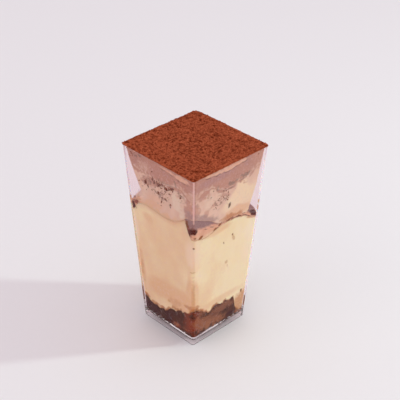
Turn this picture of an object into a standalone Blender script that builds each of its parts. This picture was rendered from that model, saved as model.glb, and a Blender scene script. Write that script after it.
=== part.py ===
"""Tiramisu in a tall, square, clear plastic dessert cup, filled to the rim and dusted with cocoa.

Metres, +Z up. The origin is the middle of the underside, so the cup stands on z = 0.
Places round the cup are counted in turns of the wall: 0 at the corner (+X, -Y), 1 at (+X, +Y),
2 at (-X, +Y), 3 at (-X, -Y), and 4 back at the first corner. Profiles give a height at such turns,
in millimetres, and run straight between them.
"""

from math import cos, pi, radians, sin

import bmesh
import bpy
import numpy as np

MM = 0.001

# The cup, and the clearance kept between touching pieces.
HEIGHT = 100.0 * MM
TOP_SIDE = 48.4 * MM
FOOT_SIDE = 35.9 * MM
WALL = 1.2 * MM
CORNER_RADIUS = 1.4 * MM
INNER_RADIUS = 0.7 * MM
COCOA_CORNERS = (1.4 * MM, 1.4 * MM, 2.6 * MM, 1.4 * MM)
RIM_Z = 98.9 * MM
RIM_ROUND = 0.3 * MM
FLOOR_TOP = 4.5 * MM
FLOOR_THICKNESS = 1.5 * MM
FLOOR_FILLET = 0.6 * MM
CUTTER_REACH = 5.0 * MM
GAP = 0.3 * MM

# The layers' own heights, at the middle of the cup.
SPONGE_MIDDLE = 17.5 * MM
CREAM_MIDDLE = 67.5 * MM
SOAKED_MIDDLE = 68.6 * MM
UPPER_MIDDLE = 89.0 * MM
STAINED_TOP = 97.6 * MM
COCOA_RIPPLE = 0.18 * MM
LEAST_LAYER = 0.5 * MM
UPPER_CLEARANCE = 0.2 * MM  # more room over the soaked layer, whose corners are cut differently
EDGE_POWER = 2.0  # how late a layer leaves its middle height on the way to its uneven edge

# Profiles along the wall: (turn, height in mm).
SPONGE_EDGE = (
    (0.0, 21.6), (0.05, 21.2), (0.1, 20.2), (0.15, 19.0), (0.2, 17.0), (0.3, 16.0), (0.35, 17.2),
    (0.42, 18.2), (0.52, 16.6), (0.6, 17.1), (0.65, 16.3), (0.76, 16.6), (0.8, 10.6), (0.83, 8.0),
    (0.88, 6.2), (0.94, 5.8), (1.0, 7.0), (1.2, 13.0), (1.5, 17.6), (1.75, 16.2), (2.0, 18.0),
    (2.3, 15.4), (2.6, 17.2), (2.85, 15.2), (3.0, 14.2), (3.06, 12.8), (3.15, 11.5), (3.25, 10.8),
    (3.44, 11.2), (3.58, 14.8), (3.72, 16.2), (3.83, 17.5), (3.88, 18.0), (3.93, 19.6), (3.97, 20.9),
)
CREAM_EDGE = (
    (0.0, 65.8), (0.03, 65.4), (0.1, 64.4), (0.2, 64.2), (0.3, 65.2), (0.38, 66.3), (0.5, 66.4),
    (0.6, 66.7), (0.7, 66.0), (0.8, 64.6), (0.9, 61.9), (1.0, 60.4), (1.15, 64.5), (1.5, 67.0),
    (1.8, 66.0), (2.0, 64.0), (2.2, 66.0), (2.5, 68.5), (2.8, 67.0), (3.0, 64.4), (3.04, 64.8),
    (3.08, 67.4), (3.12, 69.4), (3.2, 70.5), (3.27, 70.8), (3.41, 70.3), (3.57, 69.7), (3.72, 70.6),
    (3.8, 72.4), (3.86, 74.2), (3.885, 74.6), (3.905, 71.6), (3.93, 68.4), (3.96, 66.4),
)
SOAKED_EDGE = (
    (0.0, 72.0), (0.05, 71.2), (0.1, 69.8), (0.2, 69.0), (0.3, 68.5), (0.38, 68.2), (0.5, 67.7),
    (0.6, 68.0), (0.7, 67.3), (0.8, 66.6), (0.85, 65.6), (0.9, 64.2), (1.0, 63.0), (1.15, 66.4),
    (1.3, 66.8), (1.5, 68.0), (1.85, 66.8), (2.0, 69.0), (2.15, 67.2), (2.5, 69.4), (2.85, 68.6),
    (3.0, 69.6), (3.04, 69.8), (3.08, 70.4), (3.12, 70.8), (3.2, 71.3), (3.27, 71.5), (3.41, 71.0),
    (3.57, 70.4), (3.72, 71.3), (3.8, 73.1), (3.86, 74.9), (3.885, 75.4), (3.905, 74.6), (3.93, 73.6),
    (3.96, 72.8),
)
UPPER_LIFT = (
    (0.0, 5.0), (0.05, 5.1), (0.1, 5.2), (0.2, 4.0), (0.25, 2.9), (0.3, 1.8), (0.36, 0.2), (0.38, 0.0),
    (0.81, 0.0), (0.85, 2.2), (0.89, 2.0), (0.94, 1.7), (1.0, 1.6), (1.2, 0.2), (1.3, 0.0), (1.75, 0.0),
    (2.0, 1.2), (2.2, 0.0), (2.8, 0.2), (3.0, 1.4), (3.08, 0.6), (3.14, 0.0), (3.87, 0.0), (3.89, 0.7),
    (3.92, 2.4), (3.96, 4.0),
)
UPPER_EDGE = (
    (0.0, 87.0), (0.08, 89.4), (0.15, 91.2), (0.24, 90.8), (0.32, 88.4), (0.38, 86.6), (0.45, 85.6),
    (0.55, 85.8), (0.62, 87.0), (0.72, 87.8), (0.8, 88.0), (0.86, 89.6), (0.92, 91.4), (1.0, 91.8),
    (1.3, 90.0), (1.7, 88.0), (2.0, 90.5), (2.4, 89.0), (2.7, 88.0), (3.0, 91.4), (3.12, 90.2),
    (3.21, 89.4), (3.37, 89.0), (3.456, 87.7), (3.64, 89.2), (3.76, 90.4), (3.845, 91.0), (3.9, 89.0),
    (3.95, 87.4),
)

# How far each corner of the filling stands back from the wall's corner: (height, setback), in mm.
# The corners come in the order of the turns. The bulge is 1 for a round corner and 0 for a flat cut.
LOWER_CORNERS = (
    ((0.0, 0.9), (100.0, 0.9)),
    ((5.0, 1.3), (20.0, 1.2), (25.0, 1.0), (66.0, 1.0)),
    ((5.0, 2.4), (22.0, 2.0), (28.0, 1.2), (66.0, 1.6)),
    ((5.0, 1.6), (20.0, 1.6), (24.0, 1.0), (60.0, 1.0), (70.0, 1.1)),
)
UPPER_CORNERS = (
    ((0.0, 0.9), (100.0, 0.9)),
    ((68.0, 6.6), (74.0, 5.1), (80.0, 3.6), (85.0, 3.0), (90.0, 2.3), (95.0, 1.8), (97.6, 1.5)),
    ((69.0, 6.0), (80.0, 5.0), (95.0, 2.8), (97.6, 2.2)),
    (
        (70.0, 2.4), (71.0, 3.4), (72.2, 5.0), (73.6, 7.2), (75.4, 9.4), (77.0, 9.1), (82.0, 6.9),
        (86.0, 5.3), (90.0, 3.7), (94.0, 2.6), (97.6, 1.8),
    ),
)
LOWER_BULGE = 0.9
UPPER_BULGE = 0.1

# How finely the surfaces are divided.
SIDE_CELLS = 12
COCOA_CELLS = 16
CORNER_SEGMENTS = 5
EDGE_SEGMENTS = 2
COCOA_WAVE_X = 10.7 * MM
COCOA_WAVE_Y = 13.2 * MM


# ---------------------------------------------------------------------------------------- helpers


def finish(name, colour, roughness, transmission=0.0, ior=1.45):
    """A Principled material with one colour, given as sRGB from 0 to 255."""
    shares = [channel / 255.0 for channel in colour]
    linear = [s / 12.92 if s <= 0.04045 else ((s + 0.055) / 1.055) ** 2.4 for s in shares]
    material = bpy.data.materials.new(name)
    material.use_nodes = True
    shader = material.node_tree.nodes["Principled BSDF"]
    shader.inputs["Base Color"].default_value = (*linear, 1.0)
    shader.inputs["Roughness"].default_value = roughness
    shader.inputs["Metallic"].default_value = 0.0
    shader.inputs["Transmission Weight"].default_value = transmission
    shader.inputs["IOR"].default_value = ior
    material.diffuse_color = (*linear, 1.0)
    return material


def collection(name):
    made = bpy.data.collections.new(name)
    bpy.context.scene.collection.children.link(made)
    return made


def add_object(name, shape, home, material=None):
    """An object in a collection, from a bmesh, which is freed."""
    bmesh.ops.recalc_face_normals(shape, faces=shape.faces)
    mesh = bpy.data.meshes.new(name)
    shape.to_mesh(mesh)
    shape.free()
    made = bpy.data.objects.new(name, mesh)
    home.objects.link(made)
    if material:
        mesh.materials.append(material)
        mesh.shade_smooth()
        mesh.set_sharp_from_angle(angle=radians(35))
    return made


def half_width(z):
    """Half of the cup's outer width at a height: the faces lean outwards evenly."""
    return 0.5 * (FOOT_SIDE + (TOP_SIDE - FOOT_SIDE) * z / HEIGHT)


def profile(knots, turn):
    """A closed profile's value, in metres, at one turn."""
    turns, heights = zip(*knots)
    return float(np.interp(turn, turns, heights, period=4.0)) * MM


def turn_of(x, y):
    """The turn of the point where a line from the middle through (x, y) meets the wall."""
    if abs(x) >= abs(y):
        if x > 0.0:
            return 0.5 + 0.5 * y / x
        return 2.5 + 0.5 * y / x if x < 0.0 else 0.0
    return 1.5 - 0.5 * x / y if y > 0.0 else 3.5 - 0.5 * x / y


def level(middle, edge, x, y, half):
    """A layer's height at (x, y): its middle height, passing to its edge profile at the wall."""
    reach = min(max(abs(x), abs(y)) / half, 1.0) ** EDGE_POWER
    return middle + (profile(edge, turn_of(x, y)) - middle) * reach


def outline(u, v, half, setbacks, bulge):
    """Places (u, v) of the unit square in a square of this half width with cut or rounded corners.

    Near a corner the edge runs on a blend of two lines between the same ends: a quarter circle and
    the straight cut across the corner.
    """
    reach = max(abs(u), abs(v))
    if reach == 0.0:
        return 0.0, 0.0
    x = abs(u) / reach * half
    y = abs(v) / reach * half
    corner = {(1, -1): 0, (1, 1): 1, (-1, 1): 2, (-1, -1): 3}[(1 if u > 0 else -1, 1 if v > 0 else -1)]
    setback = setbacks[corner]
    along = (half - x) + (half - y)
    if along < setback:
        share = along / setback
        angle = 0.25 * pi * (1.0 + (share if y > x else -share))
        arc_x = half - setback * (1.0 - cos(angle))
        arc_y = half - setback * (1.0 - sin(angle))
        near = half - 0.5 * setback * (1.0 + share)
        far = half - 0.5 * setback * (1.0 - share)
        cut_x, cut_y = (near, far) if y > x else (far, near)
        x = bulge * arc_x + (1.0 - bulge) * cut_x
        y = bulge * arc_y + (1.0 - bulge) * cut_y
    return (x if u > 0 else -x) * reach, (y if v > 0 else -y) * reach


def corner_setbacks(corners, z):
    return [float(np.interp(z / MM, *zip(*knots))) * MM for knots in corners]


def divided_cube(cells, rows):
    """A cube from -1 to 1 with each level edge in cells parts and each upright edge in rows."""
    shape = bmesh.new()
    bmesh.ops.create_cube(shape, size=2.0)
    upright = [e for e in shape.edges if abs(e.verts[0].co.z - e.verts[1].co.z) > 1.0]
    if rows > 1:
        bmesh.ops.subdivide_edges(shape, edges=upright, cuts=rows - 1, use_grid_fill=True)
    flat = [e for e in shape.edges if abs(e.verts[0].co.z - e.verts[1].co.z) < 1e-4]
    bmesh.ops.subdivide_edges(shape, edges=flat, cuts=cells - 1, use_grid_fill=True)
    return shape


def crowded(share):
    """Moves a place between -1 and 1 towards the ends, so that the corners get more points."""
    return sin(0.5 * pi * share)


# ----------------------------------------------------------------------------------- the cup itself


def tapered_block(low, high, inset, radius, base_round=0.0, top_round=0.0):
    """A square block between two heights, set in from the cup's outside, with rounded upright edges."""
    shape = bmesh.new()
    bmesh.ops.create_cube(shape, size=2.0)
    for vertex in shape.verts:
        z = low if vertex.co.z < 0 else high
        half = half_width(z) - inset
        vertex.co = (half * vertex.co.x, half * vertex.co.y, z)
    upright = [e for e in shape.edges if abs(e.verts[0].co.z - e.verts[1].co.z) > 1e-4]
    bmesh.ops.bevel(
        shape, geom=upright, offset=radius, segments=CORNER_SEGMENTS, profile=0.5, affect="EDGES"
    )
    for rounding, at in ((base_round, low), (top_round, high)):
        if rounding > 0.0:
            ring = [e for e in shape.edges if all(abs(v.co.z - at) < 1e-6 for v in e.verts)]
            bmesh.ops.bevel(
                shape, geom=ring, offset=rounding, segments=EDGE_SEGMENTS, profile=0.5, affect="EDGES"
            )
    return shape


def make_cup(home, cutters, material):
    """A tapered cup on a hollow foot: an outer block, with the inside and the foot's recess cut out."""
    outside = tapered_block(0.0, RIM_Z, 0.0, CORNER_RADIUS, top_round=RIM_ROUND)
    cup = add_object("cup", outside, home, material)
    inside = tapered_block(FLOOR_TOP, HEIGHT + CUTTER_REACH, WALL, INNER_RADIUS, base_round=FLOOR_FILLET)
    recess = tapered_block(-CUTTER_REACH, FLOOR_TOP - FLOOR_THICKNESS, WALL, INNER_RADIUS)
    for name, shape in (("cup_inside", inside), ("foot_recess", recess)):
        cutter = add_object(name, shape, cutters)
        cutter.hide_render = True
        cutter.display_type = "WIRE"
        cut = cup.modifiers.new(name, "BOOLEAN")
        cut.operation = "DIFFERENCE"
        cut.solver = "EXACT"
        cut.object = cutter
    return cup


# ---------------------------------------------------------------------------------- the filling


def sponge_top(x, y):
    return level(SPONGE_MIDDLE, SPONGE_EDGE, x, y, fill_half(SPONGE_MIDDLE))


def cream_top(x, y):
    return level(CREAM_MIDDLE, CREAM_EDGE, x, y, fill_half(CREAM_MIDDLE))


def soaked_top(x, y):
    """The soaked layer lies on the cream below it, no thinner than its least thickness."""
    top = level(SOAKED_MIDDLE, SOAKED_EDGE, x, y, fill_half(CREAM_MIDDLE))
    return max(top, cream_top(x, y) + GAP + LEAST_LAYER)


def upper_bottom(x, y):
    """The upper cream bridges a hollow at the first corner, and lifts a little at the others."""
    lift = level(0.0, UPPER_LIFT, x, y, fill_half(CREAM_MIDDLE))
    return soaked_top(x, y) + GAP + UPPER_CLEARANCE + lift


def upper_top(x, y):
    return level(UPPER_MIDDLE, UPPER_EDGE, x, y, fill_half(UPPER_MIDDLE))


def fill_half(z):
    return half_width(z) - WALL - GAP


def make_layer(name, bottom, top, corners, bulge, rows, home, material):
    """A slab of filling: a divided cube led along the wall, between two height functions of (x, y)."""
    shape = divided_cube(SIDE_CELLS, rows)
    for vertex in shape.verts:
        u = crowded(vertex.co.x)
        v = crowded(vertex.co.y)
        share = 0.5 * (vertex.co.z + 1.0)
        z = bottom(0.0, 0.0) * (1.0 - share) + top(0.0, 0.0) * share
        for _ in range(3):
            x, y = outline(u, v, fill_half(z), corner_setbacks(corners, z), bulge)
            z = bottom(x, y) * (1.0 - share) + top(x, y) * share
        vertex.co = (x, y, z)
    # Facing surfaces of two layers are split along the same diagonals, so that their gap stays even.
    bmesh.ops.triangulate(shape, faces=shape.faces, quad_method="SHORT_EDGE")
    return add_object(name, shape, home, material)


def make_cocoa(home, material):
    """The dusting: a plug inside the wall and a slab that lies over the rim, rippled on top."""
    shape = divided_cube(COCOA_CELLS, 3)
    over_rim = RIM_Z + GAP
    for vertex in shape.verts:
        u = crowded(vertex.co.x)
        v = crowded(vertex.co.y)
        row = round(1.5 * (vertex.co.z + 1.0))
        z = (STAINED_TOP + GAP, over_rim, over_rim, HEIGHT)[row]
        if row < 2:
            x, y = outline(u, v, fill_half(z), corner_setbacks(UPPER_CORNERS, z), UPPER_BULGE)
        else:
            x, y = outline(u, v, half_width(z), COCOA_CORNERS, 1.0)
        if row == 3 and max(abs(u), abs(v)) < 1.0:
            wave = sin(2.0 * pi * x / COCOA_WAVE_X) * sin(2.0 * pi * y / COCOA_WAVE_Y + 1.0)
            z -= COCOA_RIPPLE * (1.0 + wave)
        vertex.co = (x, y, z)
    return add_object("cocoa_top", shape, home, material)


def main():
    for old in list(bpy.data.objects):
        bpy.data.objects.remove(old, do_unlink=True)
    home = collection("tiramisu")
    cutters = collection("cutters")
    cutters.hide_render = True

    clear = finish("clear polystyrene", (236, 234, 238), 0.05, transmission=1.0, ior=1.59)
    make_cup(home, cutters, clear)
    floor = FLOOR_TOP + GAP
    make_layer(
        "sponge_base", lambda x, y: floor, sponge_top, LOWER_CORNERS, LOWER_BULGE, 3,
        home, finish("coffee-soaked sponge", (92, 54, 42), 0.6),
    )
    make_layer(
        "cream_lower", lambda x, y: sponge_top(x, y) + GAP, cream_top, LOWER_CORNERS, LOWER_BULGE, 8,
        home, finish("mascarpone cream", (232, 203, 166), 0.45),
    )
    make_layer(
        "soaked_middle", lambda x, y: cream_top(x, y) + GAP, soaked_top, LOWER_CORNERS, LOWER_BULGE, 2,
        home, finish("coffee-soaked crumb", (96, 56, 40), 0.5),
    )
    make_layer(
        "cream_upper", upper_bottom, upper_top, UPPER_CORNERS, UPPER_BULGE, 5,
        home, finish("whipped cream", (218, 182, 158), 0.45),
    )
    make_layer(
        "cream_cocoa", lambda x, y: upper_top(x, y) + GAP, lambda x, y: STAINED_TOP, UPPER_CORNERS,
        UPPER_BULGE, 3, home, finish("cocoa-stained cream", (180, 134, 118), 0.5),
    )
    make_cocoa(home, finish("cocoa powder", (147, 68, 41), 0.95))


main()
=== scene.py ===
"""Looks of a tiramisu in a tall, square, clear dessert cup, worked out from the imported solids.

Metres, +Z up. Places round the cup are counted in turns: 0 at the corner (+X, -Y), 1 at (+X, +Y), 2 at
(-X, +Y), 3 at (-X, -Y) and 4 back at the first. Heights in the tables of marks are in millimetres.
"""

import bpy
import numpy as np
from bpy.props import FloatProperty, FloatVectorProperty, IntProperty, PointerProperty
from mathutils import Matrix, Vector


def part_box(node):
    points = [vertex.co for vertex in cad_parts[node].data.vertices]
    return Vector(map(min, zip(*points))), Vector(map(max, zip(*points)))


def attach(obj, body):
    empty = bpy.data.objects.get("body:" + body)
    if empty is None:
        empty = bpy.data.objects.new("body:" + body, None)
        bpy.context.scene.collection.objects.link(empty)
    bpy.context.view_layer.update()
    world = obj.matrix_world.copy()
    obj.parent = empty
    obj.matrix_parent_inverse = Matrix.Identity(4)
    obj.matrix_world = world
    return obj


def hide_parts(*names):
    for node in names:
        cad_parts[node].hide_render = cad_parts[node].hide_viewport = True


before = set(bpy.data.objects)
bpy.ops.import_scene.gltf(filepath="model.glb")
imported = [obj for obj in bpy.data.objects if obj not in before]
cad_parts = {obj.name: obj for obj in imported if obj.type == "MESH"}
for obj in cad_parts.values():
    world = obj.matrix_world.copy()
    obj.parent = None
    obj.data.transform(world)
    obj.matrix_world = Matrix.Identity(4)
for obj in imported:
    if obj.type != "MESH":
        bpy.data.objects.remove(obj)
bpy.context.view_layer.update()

bl_info = {
    "name": "Tiramisu Cup",
    "version": (1, 0, 0),
    "blender": (4, 5, 0),
    "location": "3D View > Sidebar > Tiramisu",
    "description": "Builds a layered tiramisu in a clear square cup round its packed solids",
    "category": "Add Mesh",
}

MM = 0.001
TURNS = 4.0


def linear(code):
    """Scene-linear red, green and blue of an sRGB hex code."""
    shares = np.array([int(code[i : i + 2], 16) for i in (0, 2, 4)]) / 255.0
    return tuple(np.where(shares <= 0.04045, shares / 12.92, ((shares + 0.055) / 1.055) ** 2.4).tolist())


# ------------------------------------------------------------------------------- sizes from the frame


def slice_half(node, low, high):
    """Half width of a node's solid between two heights, in shares of the node's own height."""
    base, top = (Vector(corner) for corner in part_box(node))
    mesh = bpy.data.objects[node].data
    points = np.empty(len(mesh.vertices) * 3, np.float32)
    mesh.vertices.foreach_get("co", points)
    points = points.reshape(-1, 3)
    share = (points[:, 2] - base.z) / (top.z - base.z)
    return float(np.abs(points[(share >= low) & (share <= high), 0]).max())


FOOT_HALF = slice_half("cup", 0.0, 0.001)
RIM_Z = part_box("cup")[1][2]
COCOA_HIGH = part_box("cocoa_top")[1]
TOP_Z = COCOA_HIGH[2]
TOP_HALF = COCOA_HIGH[0]
LEAN = (TOP_HALF - FOOT_HALF) / TOP_Z


def wall_half(z):
    """Half of the cup's outer width at height z: the walls lean out evenly."""
    return FOOT_HALF + LEAN * z


# ------------------------------------------------------------------------------------- settings


def length_setting(name, about, size):
    return FloatProperty(name=name, description=about, default=size, unit="LENGTH")


def colour_setting(name, about, code):
    return FloatVectorProperty(name=name, description=about, default=linear(code), size=3, subtype="COLOR")


def power_setting(name, about, watts):
    return FloatProperty(name=name, description=about, default=watts, unit="POWER")


def angle_setting(name, about, degrees):
    return FloatProperty(name=name, description=about, default=np.radians(degrees), subtype="ANGLE")


class TIRAMISU_PG_cup(bpy.types.PropertyGroup):
    wall: length_setting("Wall", "Thickness of the clear wall", 1.2 * MM)
    corner: length_setting("Corner radius", "Radius of the upright outer corners", 1.4 * MM)
    floor_top: length_setting("Floor height", "Height of the cup's inner floor", 4.5 * MM)
    floor_depth: length_setting("Floor thickness", "Thickness of the cup's floor", 1.5 * MM)
    contact: length_setting("Contact depth", "How far the filling reaches into the wall", 0.12 * MM)
    tint: colour_setting("Tint", "Colour of the clear plastic", "FCF2F3")
    shade: colour_setting("Shade", "Light left after each surface of the wall", "EBE6E9")


class TIRAMISU_PG_filling(bpy.types.PropertyGroup):
    sponge: colour_setting("Sponge", "Coffee-soaked sponge", "5A2A18")
    cream: colour_setting("Cream", "Mascarpone cream", "F9E8C0")
    upper: colour_setting("Upper cream", "Cream near the dusting", "E9C8B0")
    stained: colour_setting("Stained cream", "Cream stained by cocoa", "C6937F")
    coffee: colour_setting("Coffee", "Coffee pooled in the crumb", "5A2016")
    tan: colour_setting("Coffee stain", "Coffee soaked thinly into cream", "C47E4C")


class TIRAMISU_PG_cocoa(bpy.types.PropertyGroup):
    powder: colour_setting("Cocoa", "Cocoa powder", "A04E2E")
    relief: length_setting("Relief", "Height of the clumps on the dusting", 0.5 * MM)
    grains: IntProperty(name="Grains", description="Loose grains on the dusting", default=17000, min=0)
    flecks: IntProperty(name="Flecks", description="Cocoa flecks pressed on the wall", default=1000, min=0)


class TIRAMISU_PG_stage(bpy.types.PropertyGroup):
    floor: colour_setting("Floor", "Pale floor", "EAEBEC")
    sky: colour_setting("Fill light", "Colour of the soft light from all round", "E8DDE3")
    key_power: power_setting("Key light", "Power of the low key lamp", 15.0)
    front_power: power_setting("Front light", "Power of the broad front lamp", 4.0)
    azimuth: angle_setting("View azimuth", "Camera's turn round the cup", 45.556)
    elevation: angle_setting("View elevation", "Camera's height over the floor", 32.068)
    roll: angle_setting("View roll", "Camera's tilt", 0.58)
    distance: length_setting("View distance", "Camera to the point it looks at", 510.8 * MM)
    lens: FloatProperty(name="Lens", description="Focal length in millimetres", default=96.22, unit="CAMERA")


# ------------------------------------------------------------------------------- numbers on surfaces


def smooth(share):
    """Smoothstep of values clipped to 0..1."""
    share = np.clip(share, 0.0, 1.0)
    return share * share * (3.0 - 2.0 * share)


LATTICE_STEPS = np.array([73856093, 19349663, 83492791])
LATTICE_VALUES = 8192


def noise(points, cell, seed, octaves=1):
    """Smooth random values of about -1..1: random numbers on a cubic lattice, blended in between.

    Each further octave halves the cell and the height.
    """
    points = np.asarray(points, float)
    total = np.zeros(points.shape[:-1])
    for octave in range(octaves):
        table = np.random.default_rng(seed + 97 * octave).uniform(-1.0, 1.0, LATTICE_VALUES)
        place = points / cell * 2.0**octave
        base = np.floor(place).astype(np.int64)
        part = smooth(place - base)
        for corner in range(8):
            step = np.array([corner & 1, corner >> 1 & 1, corner >> 2 & 1])
            key = ((base + step) * LATTICE_STEPS).sum(axis=-1) % LATTICE_VALUES
            weight = np.where(step, part, 1.0 - part).prod(axis=-1)
            total += table[key] * weight * 0.5**octave
    return total


def along(knots, turn, blur=0.02):
    """A closed profile of (turn, value) read at turns, its kinks softened by averaging near places."""
    turns, values = np.array(knots).T
    steps = np.linspace(-blur, blur, 5)
    return sum(np.interp(turn + step, turns, values, period=TURNS) for step in steps) / len(steps)


def outline(turn, half, setbacks=None, bulge=1.0):
    """x and y on a square of a half width, at a turn, with corners cut or rounded.

    On each side the point has a distance outwards and one along. Closer to a corner than its setback,
    it moves on a quarter circle (bulge 1), on a straight cut (bulge 0), or between the two.
    """
    side = np.floor(turn)
    part = 2.0 * (turn - side) - 1.0
    out, run = half + 0.0 * part, np.abs(part) * half
    if setbacks is not None:
        corner = np.mod(np.where(part > 0.0, side + 1, side), 4).astype(int)
        cut = np.maximum(np.choose(corner, setbacks), 1e-9)
        near = np.clip(1.0 - (half - run) / cut, 0.0, 1.0)
        angle = 0.25 * np.pi * near
        round_out, round_run = half - cut * (1.0 - np.cos(angle)), half - cut * (1.0 - np.sin(angle))
        flat_out, flat_run = half - 0.5 * cut * near, half - cut * (1.0 - 0.5 * near)
        inside = near > 0.0
        out = np.where(inside, bulge * round_out + (1.0 - bulge) * flat_out, out)
        run = np.where(inside, bulge * round_run + (1.0 - bulge) * flat_run, run)
    run = np.sign(part) * run
    facing = 0.5 * np.pi * side
    return out * np.cos(facing) - run * np.sin(facing), out * np.sin(facing) + run * np.cos(facing)


def turns_round(per_side, corner_share=0.0, corner_steps=0):
    """Turns for the columns of a surface: even along each side, closer at its two ends."""
    if corner_steps:
        ends = np.linspace(0.0, corner_share, corner_steps + 1)
        flat = 1.06 * corner_share
        sides = np.concatenate([ends, np.linspace(flat, 1 - flat, per_side), 1 - ends[::-1]])[:-1]
    else:
        even = np.arange(per_side) / per_side
        sides = 0.7 * even + 0.3 * (0.5 - 0.5 * np.cos(np.pi * even))
    return (np.arange(4)[:, None] + sides[None, :]).reshape(-1)


def turns_past(turn, place):
    """Turns from a place to each turn, the short way round."""
    return np.mod(turn - place + 0.5 * TURNS, TURNS) - 0.5 * TURNS


def marks_on(turn, z, marks, ragged):
    """Soft marks on the wall: ellipses of (turn, height, width, height, strength, tilt in degrees).

    A mark fades from its full strength to nothing as the distance from its middle, in half widths,
    goes from 0.4 to 1.4. ragged is added to that distance.
    """
    field = np.zeros(np.broadcast(turn, z).shape)
    side = 2.0 * wall_half(z) / MM
    for at, height, wide, tall, strength, *tilt in marks:
        across = turns_past(turn, at) * side
        upward = z / MM - height
        lean = np.radians(sum(tilt))
        longways = (across * np.cos(lean) + upward * np.sin(lean)) / (0.5 * wide)
        crossways = (upward * np.cos(lean) - across * np.sin(lean)) / (0.5 * tall)
        inside = smooth(1.4 - np.hypot(longways, crossways) - ragged)
        field = np.maximum(field, strength * inside)
    return field


def corner_highlight(turn, z):
    """1 on a hair line up the front corner, where a highlight of the cup's rounded corner is painted, and 0
    beside it.
    """
    away = np.abs(turns_past(turn, 0.0)) * 2.0 * wall_half(z)
    return smooth(1.5 - away / (0.45 * MM))


def hidden_sides(turn, z, height, tall, corners=((1.0, 1.0), (3.0, -1.0))):
    """Marks on the two hidden faces, next to the side corners, and nothing on the shown faces; they carry a
    painted reflection.

    Each corner is (turn, way): its mark lies 0.16 turns that way, and stops short at the corner.
    """
    return sum(
        marks_on(turn, z, ((corner + 0.16 * way, height, 14.0, tall, 1.0),), 0.0)
        * smooth((turn - corner) * way / 0.02)
        for corner, way in corners
    )


def line_at(z, height, thickness):
    """1 on a line at a height, fading to 0 at a thickness either side."""
    return smooth(1.0 - np.abs(z - height) / thickness)


# ------------------------------------------------------------------------------------ mesh making


def new_piece(name, points, faces, material, marks=None, flat=False):
    """A mesh object from arrays of points and faces, with float attributes from marks."""
    mesh = bpy.data.meshes.new(name)
    mesh.from_pydata(points.tolist(), [], faces.tolist() if isinstance(faces, np.ndarray) else faces)
    for label, values in (marks or {}).items():
        mesh.attributes.new(label, "FLOAT", "POINT").data.foreach_set("value", values.astype(np.float32))
    mesh.materials.append(material)
    if not flat:
        mesh.shade_smooth()
    piece = bpy.data.objects.new(name, mesh)
    bpy.context.scene.collection.objects.link(piece)
    return piece


def ring_faces(rows, columns):
    """Quads between rows of points that each run all the way round."""
    row = np.arange(rows - 1)[:, None] * columns
    column = np.arange(columns)
    after = (column + 1) % columns
    quads = np.stack([row + column, row + after, row + columns + after, row + columns + column], axis=-1)
    return quads.reshape(-1, 4)


def closed_rings(grid):
    """Points and faces of a surface whose first and last rows are single points, its poles.

    grid is (rows, columns, 3); the poles are the means of the first and last rows.
    """
    rows, columns = grid.shape[:2]
    poles = grid[[0, -1]].mean(axis=1)
    body = grid[1:-1]
    points = np.concatenate([body.reshape(-1, 3), poles])
    quads = ring_faces(rows - 2, columns)
    column = np.arange(columns)
    after = (column + 1) % columns
    low, high = len(points) - 2, len(points) - 1
    last = (rows - 3) * columns
    bottom = np.stack([np.full(columns, low), after, column], axis=-1)
    top = np.stack([last + column, last + after, np.full(columns, high)], axis=-1)
    return points, quads.tolist() + bottom.tolist() + top.tolist()


def pole_values(field):
    """An attribute laid out like closed_rings' points."""
    return np.concatenate([field[1:-1].reshape(-1), field[[0, -1]].mean(axis=1)])


# ------------------------------------------------------------------------------------- materials


def add(tree, kind, inputs=None, **settings):
    """Adds a node. settings are its properties; inputs maps a socket to a value or to an output."""
    made = tree.nodes.new(kind)
    for label, value in settings.items():
        setattr(made, label, value)
    for socket, value in (inputs or {}).items():
        if isinstance(value, bpy.types.NodeSocket):
            tree.links.new(value, made.inputs[socket])
        else:
            made.inputs[socket].default_value = value
    return made


def new_material(name):
    """An empty node material with a Principled shader on its output."""
    material = bpy.data.materials.new(name)
    material.use_nodes = True
    tree = material.node_tree
    tree.nodes.clear()
    shader = tree.nodes.new("ShaderNodeBsdfPrincipled")
    add(tree, "ShaderNodeOutputMaterial", {"Surface": shader.outputs[0]})
    return material, tree, shader


def rgba(colour):
    return (*colour, 1.0)


def clear_plastic(tint, shade):
    """Injection-moulded crystal polystyrene: water clear, with a hard polish and faint flow waves.

    Its index is set under polystyrene's own 1.59, so that the thin wall mirrors little.
    Light on its way from a lamp passes straight through and loses a little at each surface.
    """
    material, tree, shader = new_material("moulded_crystal_polystyrene")
    shader.inputs["Base Color"].default_value = rgba(tint)
    shader.inputs["Transmission Weight"].default_value = 1.0
    shader.inputs["Roughness"].default_value = 0.03
    shader.inputs["IOR"].default_value = 1.35
    shader.inputs["Specular Tint"].default_value = (0.22, 0.22, 0.22, 1.0)
    place = add(tree, "ShaderNodeTexCoord").outputs["Object"]
    waves = add(tree, "ShaderNodeTexNoise", {"Vector": place, "Scale": 90.0, "Detail": 1.0}).outputs["Fac"]
    bump = add(tree, "ShaderNodeBump", {"Height": waves, "Strength": 0.04, "Distance": 0.3 * MM})
    tree.links.new(bump.outputs[0], shader.inputs["Normal"])
    straight = add(tree, "ShaderNodeBsdfTransparent", {"Color": rgba(shade)}).outputs[0]
    shadow = add(tree, "ShaderNodeLightPath").outputs["Is Shadow Ray"]
    mixed = add(tree, "ShaderNodeMixShader", {0: shadow, 1: shader.outputs[0], 2: straight}).outputs[0]
    tree.links.new(mixed, tree.nodes["Material Output"].inputs["Surface"])
    return material


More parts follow.
